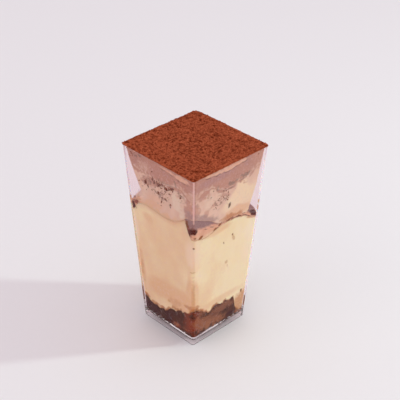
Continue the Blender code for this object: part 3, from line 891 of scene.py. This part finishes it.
UPPER_MARKS = {
    "clean": (
        (0.72, 79.5, 16, 14, 1), (0.62, 74, 18, 7, 0.8), (0.82, 76, 8, 18, 0.8), (1.4, 78, 22, 16, 0.8),
    ),
    "peach": (
        (3.36, 74, 14, 5, 0.7), (0.62, 70, 20, 5, 0.8), (3.4, 77, 16, 6, 0.35), (2.5, 76, 24, 10, 0.7),
    ),
    "pale": ((3.77, 81.5, 6.5, 13, 1, 20), (3.82, 77.5, 5, 6, 0.7), (0.2, 83.5, 12, 9, 0.55)),
    "tan": ((0.58, 68.6, 18, 3, 0.8), (0.45, 69.4, 9, 2.4, 0.6), (3.12, 72.2, 5, 2.2, 0.55, 42)),
    # Painted shade, lavender grey, of the air gaps at the corners under this cream's edge.
    "painted_gap_shade": ((0.12, 75.6, 20, 4.4, 0.85, -27), (3.95, 77.6, 5, 4, 0.8)),
    "taupe": (
        (3.28, 85.5, 7, 5, 0.8, -30), (3.4, 86.5, 9, 7, 0.85, -35), (3.93, 83.5, 6, 13, 0.85),
        (0.04, 82, 6, 14, 0.8), (0.19, 85.2, 5, 2, 0.8, 30), (0.28, 80.6, 6, 2.6, 0.75, 15),
        (0.12, 88.4, 12, 7, 1.1), (0.18, 77.6, 4, 5, 0.7), (0.44, 83.6, 8, 3.6, 0.75),
        (0.37, 81.6, 5, 1.6, 0.7), (1.5, 85, 24, 8, 0.6), (2.4, 84, 18, 9, 0.6),
    ),
    "grey": (
        (0.33, 88.6, 3, 2.4, 0.8), (0.5, 85.6, 6, 1.6, 0.8), (0.7, 87.4, 6, 1.6, 0.8),
        (3.35, 86, 4, 5, 0.55, -20), (3.56, 87.4, 12, 1.8, 0.5), (3.8, 88, 2, 4, 0.6, 25),
    ),
    "crumb": (
        (0.36, 81.5, 15, 9, 0.9, 12), (3.42, 83.5, 20, 11, 0.9, -20), (3.85, 86, 6, 8, 0.7),
        (0.1, 86, 8, 8, 0.6), (1.5, 83, 24, 10, 0.6), (2.5, 83, 24, 10, 0.6),
    ),
}


class TIRAMISU_OT_upper_cream(bpy.types.Operator):
    """Upper cream: a slab drawn in from three corners, hollow under its front edge, dusty with cocoa"""

    bl_idname = "tiramisu.upper_cream"
    bl_label = "Upper cream"

    def execute(self, context):
        cup, food = context.scene.tiramisu_cup, context.scene.tiramisu_filling

        def relief(points, turn, z):
            dents = np.maximum(noise(points, 2.0 * MM, 52, octaves=2), 0.2)
            return 0.03 * MM * noise(points, 5.0 * MM, 51) - 0.08 * MM * dents

        made, turn, z = slab(
            cup, upper_bottom, UPPER_TOP, (68.4 * MM, 89.0 * MM), UPPER_CORNERS, 0.1, 120, 0.33 * MM,
            relief=relief,
        )
        low, high = upper_bottom(turn), UPPER_TOP(turn)
        ragged = 0.7 * noise(made, 2.4 * MM, 53, octaves=3)
        broad = 0.6 * noise(made, 7.0 * MM, 54, octaves=2)
        dry = marks_on(turn, z, DRY_SIDE, 0.0)
        crumbs = smooth(2.4 * noise(made, 1.5 * MM, 56, octaves=2) - 0.35)
        # Coffee has crept up from the soaked layer, and cocoa down from the band.
        crept = 0.8 * smooth(1.0 - (z - low) / (1.2 * MM) - ragged) * (1.0 - dry)
        sunk = smooth(1.15 - (high - z) / (2.4 * MM) - 1.1 * ragged)
        marks = {
            "clean": marks_on(turn, z, UPPER_MARKS["clean"], broad),
            "peach": np.maximum(marks_on(turn, z, UPPER_MARKS["peach"], broad), crept),
            "melt": smooth(1.0 - (z - low) / (3.0 * MM) - 0.7 * ragged) * dry,
            "tan": marks_on(turn, z, UPPER_MARKS["tan"], ragged),
            "taupe": np.maximum(marks_on(turn, z, UPPER_MARKS["taupe"], ragged), sunk),
            # Painted shade of the air gaps at the corners.
            "painted_gap_shade": marks_on(turn, z, UPPER_MARKS["painted_gap_shade"], 0.7 * ragged),
            "pale": marks_on(turn, z, UPPER_MARKS["pale"], 0.7 * ragged),
            "grey": marks_on(turn, z, UPPER_MARKS["grey"], ragged),
            "crumb": crumbs * marks_on(turn, z, UPPER_MARKS["crumb"], 0.6 * broad),
            # A painted highlight up the cup's front corner.
            "edge": corner_highlight(turn, z),
            "speck": marks_on(turn, z, SPECKS, 0.6 * ragged),
            # Painted reflection: pale strips on the hidden faces by the side corners.
            "painted_glare": hidden_sides(turn, z, 80.0, 60.0),
        }
        # Whipped cream with cocoa smeared through it: pinkish and satin, cleaner towards one corner.
        material = pressed_food(
            "whipped_cream_with_cocoa", food.upper, linear("DFB9A2"), 7.0 * MM,
            (
                ("clean", linear("F2D8B6"), 0.1, 0.9),
                ("peach", linear("E6B690"), 0.1, 1.0),
                ("melt", MELTED, 0.0, 0.9),
                ("tan", food.tan, 0.1, 1.0),
                ("taupe", food.stained, 0.2, 0.95),
                # The air gaps' painted shade.
                ("painted_gap_shade", linear("B08E86"), 0.0, 1.0),
                ("pale", linear("E6CEB6"), 0.2, 0.9),
                ("grey", linear("A08070"), 0.3, 1.0),
                ("crumb", linear("9E7A6A"), 0.2, 1.3),
                # edge: the painted highlight of the cup's front corner.
                ("edge", CORNER_HIGHLIGHT, 0.3, 0.8),
                ("speck", SPECK, 0.25, 1.05),
                # The painted reflection by the side corners.
                ("painted_glare", PAINTED_GLARE, 0.0, 1.0),
            ),
            bump_height=0.08 * MM,
        )
        place_piece("cream_upper_slab", made, material, "cream_upper", marks)
        return {"FINISHED"}


BAND_MARKS = {
    "light": ((0.12, 90, 9, 8, 0.1), (3.96, 88, 6, 8, 0.5), (3.3, 92, 10, 5, 0.4)),
    "mauve": ((0.3, 95, 34, 5, 0.8), (3.55, 95, 10, 4, 0.3)),
    "grey": (
        (3.15, 96.6, 4, 1.8, 0.9), (3.23, 97, 2.6, 1.6, 0.8), (0.54, 87.6, 7, 2.6, 0.9),
        (0.33, 89.4, 4, 2, 0.7), (0.73, 88.8, 8, 2.2, 0.9), (3.75, 92, 0.9, 7, 0.8, 20),
        (3.6, 89.6, 14, 1.8, 0.6),
    ),
}
# A clean streak along the band's top.
STREAK = (
    (0.19, 98, 7, 1.2, 1), (0.32, 97.6, 9, 1.8, 1.1), (0.45, 97.4, 9, 2.2, 1.1), (0.57, 97.5, 9, 2, 1.1),
    (0.67, 97.8, 6, 1.4, 1), (3.58, 97.6, 7, 1.3, 0.7), (3.68, 97.3, 7, 1.8, 0.8), (3.8, 96.9, 7, 2.6, 1),
    (3.88, 96.8, 6, 2.8, 1.1), (3.15, 98.3, 2.6, 1, 0.9), (1.4, 98.1, 16, 1.3, 0.9),
    (2.4, 98.1, 18, 1.3, 0.9),
)


class TIRAMISU_OT_stained_band(bpy.types.Operator):
    """Band under the dusting: cream stained smooth brown by cocoa, with a clean streak along its top"""

    bl_idname = "tiramisu.stained_band"
    bl_label = "Stained cream"

    def execute(self, context):
        cup, food = context.scene.tiramisu_cup, context.scene.tiramisu_filling

        def bottom(turn):
            return UPPER_TOP(turn) - 0.2 * MM

        def top(turn):
            return RIM_Z - 0.1 * MM + 0.0 * turn

        made, turn, z = slab(
            cup, bottom, top, (89.0 * MM, BAND_TOP), UPPER_CORNERS, 0.1, 130, 0.25 * MM,
            depth=0.02 * MM, edge=0.1 * MM,
        )
        low = bottom(turn)
        ragged = 0.6 * noise(made, 1.5 * MM, 61, octaves=3)
        broad = 0.6 * noise(made, 6.0 * MM, 62, octaves=2)
        # The streak, the dark line under it, and the rust line along the rim where the streak is not.
        streak = marks_on(turn, z + 0.3 * MM, STREAK, 0.8 * ragged)
        under = marks_on(turn, z + 0.8 * MM, STREAK, 0.8 * ragged)
        faded = 0.6 * smooth(1.0 - (z - low) / (2.6 * MM) - ragged)
        marks = {
            "light": np.maximum(faded, marks_on(turn, z, BAND_MARKS["light"], broad)),
            "mauve": marks_on(turn, z, BAND_MARKS["mauve"], broad),
            "grey": marks_on(turn, z, BAND_MARKS["grey"], 1.5 * ragged),
            # A painted highlight up the cup's front corner.
            "edge": corner_highlight(turn, z),
            "speck": marks_on(turn, z, SPECKS, 0.6 * ragged),
            "rust": smooth(1.0 - (98.8 * MM - z) / (0.9 * MM) + 0.4 * ragged) * (1.0 - streak),
            "line": 0.9 * np.maximum(under - 1.3 * streak, 0.0),
            "streak": streak,
            # Painted reflection: pale strips on the hidden faces by the side corners.
            "painted_glare": hidden_sides(turn, z, 80.0, 60.0),
        }
        # Cream that took the cocoa up evenly: mauve brown and smooth, with a clean streak at the rim.
        material = pressed_food(
            "cocoa_stained_cream", food.stained, linear("BC8A79"), 11.0 * MM,
            (
                ("light", food.upper, 0.1, 1.1),
                ("mauve", linear("B6887F"), 0.1, 1.0),
                ("grey", linear("8C7060"), 0.3, 1.1),
                # edge: the painted highlight of the cup's front corner.
                ("edge", CORNER_HIGHLIGHT, 0.3, 0.8),
                ("speck", SPECK, 0.25, 1.05),
                ("rust", linear("9A4A36"), 0.2, 0.9),
                ("line", linear("5A3226"), 0.2, 0.8),
                ("streak", linear("E4B498"), 0.25, 0.85),
                # The painted reflection by the side corners.
                ("painted_glare", PAINTED_GLARE, 0.0, 1.0),
            ),
            softness=0.25, bump_height=0.04 * MM,
        )
        place_piece("cream_cocoa_band", made, material, "cream_cocoa", marks)
        return {"FINISHED"}


# ------------------------------------------------------------------------------ cocoa, whole and loose


def small_lumps(centres, radii, squash, seed):
    """Joined octahedra: one lump at each centre, six points pulled about and eight faces each."""
    rng = np.random.default_rng(seed)
    corners = np.array([(1, 0, 0), (-1, 0, 0), (0, 1, 0), (0, -1, 0), (0, 0, 1), (0, 0, -1)], float)
    faces = np.array([(0, 2, 4), (2, 1, 4), (1, 3, 4), (3, 0, 4), (2, 0, 5), (1, 2, 5), (3, 1, 5), (0, 3, 5)])
    count = len(centres)
    shape = corners[None] * rng.uniform(0.7, 1.3, (count, 6, 1)) * squash[:, None, :]
    shape = shape + 0.2 * rng.normal(size=(count, 6, 3)) * squash[:, None, :]
    points = centres[:, None] + shape * radii[:, None, None]
    shift = 6 * np.arange(count)[:, None, None]
    return points.reshape(-1, 3), (faces[None] + shift).reshape(-1, 3)


DUST_COLUMNS = 241
DUST_BASE = BAND_TOP - 0.3 * MM


class TIRAMISU_OT_cocoa(bpy.types.Operator):
    """Dusting: a slab over the cream and the rim, its top a field of clumps"""

    bl_idname = "tiramisu.cocoa"
    bl_label = "Cocoa dusting"

    def execute(self, context):
        cup, dust = context.scene.tiramisu_cup, context.scene.tiramisu_cocoa
        across = np.linspace(-1, 1, DUST_COLUMNS)
        x, y, z, rise = cocoa_top_at(cup, dust, *np.meshgrid(across, across))
        top = np.stack([x, y, z], axis=-1).reshape(-1, 3)
        place = np.arange(DUST_COLUMNS**2).reshape(DUST_COLUMNS, DUST_COLUMNS)
        quads = np.stack([place[:-1, :-1], place[:-1, 1:], place[1:, 1:], place[1:, :-1]], axis=-1)
        # The side falls from the top's edge to just over the rim, then the dusting goes down inside it.
        rim = np.concatenate([place[0, :-1], place[:-1, -1], place[-1, :0:-1], place[:0:-1, 0]])
        edge = top[rim]
        over = RIM_Z + 0.02 * MM
        inner = filling_half(cup, BAND_TOP) / TOP_HALF
        steps = []
        for share, height in ((1.0, 0.66), (1.0, 0.33), (0.995, 0.0)):
            ring = edge * (share, share, 1.0)
            ring[:, 2] = over + (edge[:, 2] - over) * height
            wobble = 0.12 * MM * noise(ring, 0.8 * MM, 71, octaves=2) / TOP_HALF
            ring[:, :2] *= 1.0 + wobble[:, None]
            steps.append(ring)
        for height in (over, DUST_BASE):
            steps.append(np.column_stack([edge[:, :2] * inner * 0.985, np.full(len(edge), height)]))
        points = np.concatenate([top, *steps, [(0.0, 0.0, DUST_BASE)]])
        rows = [rim] + [len(top) + i * len(rim) + np.arange(len(rim)) for i in range(len(steps))]
        sides = [np.stack([a, b, np.roll(b, -1), np.roll(a, -1)], axis=-1) for a, b in zip(rows, rows[1:])]
        last = rows[-1]
        fan = np.stack([last, np.full(len(last), len(points) - 1), np.roll(last, -1)], axis=-1)
        faces = quads.reshape(-1, 4).tolist() + np.concatenate(sides).tolist() + fan.tolist()
        # The clumps' share goes to the material, which paints shade into the hollows with it.
        height = np.concatenate([rise.reshape(-1), np.full(len(points) - rise.size, 0.4)])
        material = cocoa_powder("sifted_cocoa_powder", dust.powder)
        piece = new_piece("cocoa_dusting", points, faces, material, {"height": height})
        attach(piece, "root")
        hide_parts("cocoa_top")
        return {"FINISHED"}


def cocoa_top_at(cup, dust, u, v):
    """x, y and z on the dusting's top of points (u, v) of a square from -1 to 1, and the clumps' share there.

    Rings of the square become rings of the rounded square. The height is a level with broad dips and
    with clumps: noise folded at zero, so that it has round tops and narrow valleys.
    """
    reach = np.maximum(np.maximum(np.abs(u), np.abs(v)), 1e-9)
    a, b = u / reach, v / reach
    turn = np.where(
        np.abs(a) >= np.abs(b),
        np.where(a > 0, 0.5 + 0.5 * b, 2.5 - 0.5 * b),
        np.where(b > 0, 1.5 - 0.5 * a, 3.5 + 0.5 * a),
    )
    radii = [share * cup.corner + 0 * u for share in (0.7, 0.7, 1.9, 0.7)]
    x, y = outline(np.clip(turn, 0.0, 3.999999), TOP_HALF + 0 * u, radii)
    x, y = x * reach, y * reach
    spot = np.stack([x, y, 0 * x], axis=-1)
    clumps = 1.0 - np.abs(noise(spot, 1.7 * MM, 81, octaves=3))
    broad = noise(spot, 9.0 * MM, 83)
    edge = smooth((1.0 - reach) / 0.03)
    lumps = dust.relief * (clumps - 0.3) * (0.35 + 0.65 * edge)
    height = TOP_Z - 0.45 * MM + lumps + 0.12 * MM * broad * edge
    # Cream has wetted the powder in spots at corner 0, and a little at corner 3: it looks deeper there.
    near = smooth(1.3 - np.hypot(x - TOP_HALF, y + TOP_HALF) / (4.0 * MM))
    near = np.maximum(near, smooth(1.3 - np.hypot(x + TOP_HALF, y + TOP_HALF) / (2.6 * MM)))
    damp = near * smooth(0.4 + 2.0 * noise(spot, 1.3 * MM, 87))
    return x, y, height - 0.1 * MM * (1.0 - edge), np.clip(clumps - 0.9 * damp, -0.2, 1.0)


# The share of the grains that gather at an edge, and the strip they lie in, as a share of the half width.
EDGE_GRAINS = 0.06
EDGE_STRIP = 0.012


class TIRAMISU_OT_grains(bpy.types.Operator):
    """Loose cocoa grains lying on the dusting, some of them gathered along two of its edges"""

    bl_idname = "tiramisu.grains"
    bl_label = "Cocoa grains"

    def execute(self, context):
        scene = context.scene
        cup, dust = scene.tiramisu_cup, scene.tiramisu_cocoa
        rng = np.random.default_rng(91)
        u, v = rng.uniform(-1.0, 1.0, (2, dust.grains))
        pushed = rng.uniform(0, 1, dust.grains) < EDGE_GRAINS
        u = np.where(pushed, np.sign(u) * (1.0 - EDGE_STRIP * rng.uniform(0, 1, dust.grains)), u)
        x, y, z, _ = cocoa_top_at(cup, dust, u, v)
        radii = 0.1 * MM + 0.26 * MM * rng.power(0.5, dust.grains) ** 2
        centres = np.stack([x, y, np.minimum(z + 0.3 * radii, TOP_Z + 0.3 * MM)], axis=-1)
        squash = np.tile([1.0, 1.0, 0.8], (dust.grains, 1))
        points, faces = small_lumps(centres, radii, squash, 92)
        tone = np.repeat(rng.uniform(0.0, 1.1, dust.grains), 6)
        material = cocoa_powder("loose_cocoa_grains", dust.powder)
        loose = new_piece("cocoa_grains", points, faces, material, {"height": tone}, flat=True)
        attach(loose, "root")
        return {"FINISHED"}


# Swarms of flecks: (turn, height, spread along, spread up, share), sizes in mm.
SWARMS = (
    (3.285, 84.8, 0.5, 0.6, 0.07), (3.32, 83.2, 0.4, 0.5, 0.03), (3.42, 88, 0.8, 0.9, 0.05),
    (3.49, 86.8, 0.9, 0.7, 0.09), (3.54, 88.2, 0.6, 0.5, 0.04), (3.61, 86.7, 0.7, 0.7, 0.12),
    (3.69, 88.2, 1, 0.6, 0.1), (3.48, 82.1, 0.5, 0.6, 0.05), (3.66, 84.9, 0.5, 0.4, 0.04),
    (3.56, 80.8, 1.4, 0.6, 0.06), (3.52, 78.6, 0.4, 0.7, 0.04), (3.66, 78.6, 0.5, 0.6, 0.03),
    (3.5, 84.5, 5, 3.2, 0.26), (3.25, 84, 2.4, 3.6, 0.08), (3.1, 96.2, 1.2, 0.9, 0.04),
    (3.8, 87.5, 0.8, 2.2, 0.06), (0.48, 80.8, 0.7, 0.8, 0.03), (0.4, 82.3, 3.6, 2.2, 0.16),
    (0.7, 89, 3, 1, 0.05), (0.9, 95, 1.6, 1.6, 0.03), (1.5, 85, 8, 3, 0.07), (2.5, 84, 7, 3.5, 0.06),
)
FLECK_THICK = 0.06 * MM


class TIRAMISU_OT_flecks(bpy.types.Operator):
    """Flecks of cocoa pressed flat between the upper cream and the wall"""

    bl_idname = "tiramisu.flecks"
    bl_label = "Cocoa flecks"

    def execute(self, context):
        scene = context.scene
        cup, dust = scene.tiramisu_cup, scene.tiramisu_cocoa
        rng = np.random.default_rng(95)
        shares = np.array(SWARMS)[:, 4]
        table = np.array(SWARMS)[rng.choice(len(SWARMS), dust.flecks, p=shares / shares.sum())]
        side = 2.0 * wall_half(table[:, 1] * MM) / MM
        turn = np.mod(table[:, 0] + rng.normal(size=dust.flecks) * table[:, 2] / side, TURNS - 1e-6)
        z = (table[:, 1] + rng.normal(size=dust.flecks) * table[:, 3]) * MM
        z = np.clip(z, 75.0 * MM, 97.0 * MM)
        radii = 0.1 * MM + 0.32 * MM * rng.power(0.5, dust.flecks) ** 2.5
        x, y = outline(turn, filling_half(cup, z, 0.03 * MM), corner_cuts(UPPER_CORNERS, z), 0.1)
        # Each is pressed flat along the axis that its side of the cup faces.
        squash = rng.uniform(0.6, 1.4, (dust.flecks, 3))
        facing = np.floor(turn).astype(int) % 2
        squash[np.arange(dust.flecks), facing] = FLECK_THICK / radii
        points, faces = small_lumps(np.stack([x, y, z], axis=-1), radii, squash, 96)
        tone = np.repeat(rng.uniform(0.0, 1.0, dust.flecks), 6)
        material = cocoa_powder("damp_cocoa_flecks", tuple(0.6 * c for c in dust.powder))
        piece = new_piece("cocoa_flecks", points, faces, material, {"height": tone}, flat=True)
        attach(piece, "root")
        return {"FINISHED"}


# ------------------------------------------------------------------------------------------ stage

FLOOR_RINGS = (0.0, 0.1, 0.4, 1.0, 2.0, 4.0, 4.0)
SIDE_LIGHT, OVERHEAD_LIGHT = 0.7, 1.2
KEY_TURN, KEY_RISE = np.radians((49.4, 26.0))
KEY_DISTANCE, KEY_RADIUS = 0.42, 12.0 * MM
KEY_COLOUR = (0.83, 1.0, 0.91)
FRONT_WAY = (-0.25, -0.95, 0.55)
FRONT_DISTANCE, FRONT_SIZE = 1.8, 1.4
FRONT_COLOUR = (1.0, 0.93, 0.92)
AIM_RIGHT, AIM_HEIGHT = 2.48 * MM, 68.88 * MM
SENSOR = 36.0


class TIRAMISU_OT_stage(bpy.types.Operator):
    """Pale floor, soft light from all round, a low key lamp, a broad front lamp and the camera"""

    bl_idname = "tiramisu.stage"
    bl_label = "Stage"

    def execute(self, context):
        scene = context.scene
        stage = scene.tiramisu_stage
        self.floor(stage)
        self.light(scene, stage)
        self.camera(scene, stage)
        scene.view_settings.view_transform = "Standard"
        scene.view_settings.look = "None"
        # Light runs along inside the clear wall over many reflections before it comes out.
        scene.cycles.max_bounces = 32
        scene.cycles.glossy_bounces = 24
        scene.cycles.transmission_bounces = 32
        return {"FINISHED"}

    def floor(self, stage):
        """A level disc: rings of points out to 4 m, closed by one point a little under its middle."""
        radius = np.array(FLOOR_RINGS)
        angle = np.linspace(0.0, 2.0 * np.pi, 96, endpoint=False)
        grid = np.zeros((len(radius), len(angle), 3))
        grid[..., 0] = radius[:, None] * np.cos(angle)
        grid[..., 1] = radius[:, None] * np.sin(angle)
        grid[-1] = (0.0, 0.0, -0.01)
        points, faces = closed_rings(grid[:, ::-1])
        # Uncoated paper: near white and dead matte, with fibres that barely show.
        material, tree, shader = new_material("pale_matte_paper")
        place = add(tree, "ShaderNodeTexCoord").outputs["Object"]
        inputs = {"Vector": place, "Scale": 400.0, "Detail": 2.0}
        fibre = add(tree, "ShaderNodeTexNoise", inputs).outputs["Fac"]
        shade = add(tree, "ShaderNodeMapRange", {"Value": fibre, "To Min": 0.985, "To Max": 1.0})
        mixed = add(
            tree, "ShaderNodeMix", {0: 1.0, 6: rgba(stage.floor), 7: shade.outputs[0]},
            data_type="RGBA", blend_type="MULTIPLY",
        )
        tree.links.new(mixed.outputs[2], shader.inputs["Base Color"])
        shader.inputs["Roughness"].default_value = 0.9
        shader.inputs["Specular IOR Level"].default_value = 0.1
        floor = new_piece("pale_floor", points, faces, material)

    def light(self, scene, stage):
        """A surround that is brighter overhead, a small near key lamp and a broad front lamp."""
        world = bpy.data.worlds.new("soft_surround")
        world.use_nodes = True
        # Light from overhead is stronger than light from the sides, as under a wide soft box.
        tree = world.node_tree
        tree.nodes["Background"].inputs["Color"].default_value = rgba(stage.sky)
        way = add(tree, "ShaderNodeSeparateXYZ", {0: add(tree, "ShaderNodeTexCoord").outputs["Generated"]})
        inputs = {"Value": way.outputs["Z"], "To Min": SIDE_LIGHT, "To Max": OVERHEAD_LIGHT}
        strength = add(tree, "ShaderNodeMapRange", inputs).outputs[0]
        tree.links.new(strength, tree.nodes["Background"].inputs["Strength"])
        scene.world = world
        lamp = bpy.data.lights.new("low_key", "POINT")
        lamp.energy = stage.key_power
        lamp.color = KEY_COLOUR
        lamp.shadow_soft_size = KEY_RADIUS
        # The lamp stands near, so that its shadow spreads, yet lights the floor evenly.
        lamp.use_nodes = True
        tree = lamp.node_tree
        even = add(tree, "ShaderNodeLightFalloff", {"Strength": 1.0})
        tree.links.new(even.outputs["Constant"], tree.nodes["Emission"].inputs["Strength"])
        key = bpy.data.objects.new("low_key", lamp)
        level = np.cos(KEY_RISE)
        towards = Vector((np.cos(KEY_TURN) * level, np.sin(KEY_TURN) * level, np.sin(KEY_RISE)))
        key.location = towards * KEY_DISTANCE
        scene.collection.objects.link(key)
        lamp = bpy.data.lights.new("broad_front", "AREA")
        lamp.energy = stage.front_power
        lamp.size = FRONT_SIZE
        lamp.color = FRONT_COLOUR
        front = bpy.data.objects.new("broad_front", lamp)
        towards = Vector(FRONT_WAY).normalized()
        front.location = towards * FRONT_DISTANCE
        front.rotation_euler = towards.to_track_quat("Z", "Y").to_euler()
        scene.collection.objects.link(front)

    def camera(self, scene, stage):
        """Looks at a point a little right of the axis, from the stage's azimuth, elevation and roll."""
        turn, rise = stage.azimuth, stage.elevation
        right = Vector((np.cos(turn), np.sin(turn), 0.0))
        back = Vector((np.sin(turn) * np.cos(rise), -np.cos(turn) * np.cos(rise), np.sin(rise)))
        up = back.cross(right)
        target = right * AIM_RIGHT + Vector((0.0, 0.0, AIM_HEIGHT))
        across = right * np.cos(stage.roll) + up * np.sin(stage.roll)
        upward = back.cross(across)
        data = bpy.data.cameras.new("view")
        data.lens = stage.lens
        data.sensor_width = SENSOR
        data.clip_start = 0.01
        camera = bpy.data.objects.new("view", data)
        turned = Matrix((across, upward, back)).transposed().to_4x4()
        camera.matrix_world = Matrix.Translation(target + back * stage.distance) @ turned
        scene.collection.objects.link(camera)
        scene.camera = camera


# ----------------------------------------------------------------------------------------- add-on

OPERATORS = (
    TIRAMISU_OT_cup, TIRAMISU_OT_sponge, TIRAMISU_OT_lower_cream, TIRAMISU_OT_soaked_layer,
    TIRAMISU_OT_upper_cream, TIRAMISU_OT_stained_band, TIRAMISU_OT_cocoa, TIRAMISU_OT_grains,
    TIRAMISU_OT_flecks, TIRAMISU_OT_stage,
)
GROUPS = {
    "tiramisu_cup": TIRAMISU_PG_cup,
    "tiramisu_filling": TIRAMISU_PG_filling,
    "tiramisu_cocoa": TIRAMISU_PG_cocoa,
    "tiramisu_stage": TIRAMISU_PG_stage,
}
CLASSES = (*GROUPS.values(), *OPERATORS)


class TIRAMISU_PT_panel(bpy.types.Panel):
    """Settings and pieces of the tiramisu"""

    bl_idname = "TIRAMISU_PT_panel"
    bl_label = "Tiramisu"
    bl_space_type = "VIEW_3D"
    bl_region_type = "UI"
    bl_category = "Tiramisu"

    def draw(self, context):
        for label, group in GROUPS.items():
            box = self.layout.box()
            for setting in group.__annotations__:
                box.prop(getattr(context.scene, label), setting)
        for operator in OPERATORS:
            self.layout.operator(operator.bl_idname)


def register():
    for kind in (*CLASSES, TIRAMISU_PT_panel):
        bpy.utils.register_class(kind)
    for label, group in GROUPS.items():
        setattr(bpy.types.Scene, label, PointerProperty(type=group))


def unregister():
    for label in GROUPS:
        delattr(bpy.types.Scene, label)
    for kind in reversed((*CLASSES, TIRAMISU_PT_panel)):
        bpy.utils.unregister_class(kind)


def main():
    """Registers the classes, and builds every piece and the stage."""
    register()
    for operator in OPERATORS:
        group, name = operator.bl_idname.split(".")
        getattr(getattr(bpy.ops, group), name)()


if __name__ == "__main__":
    main()
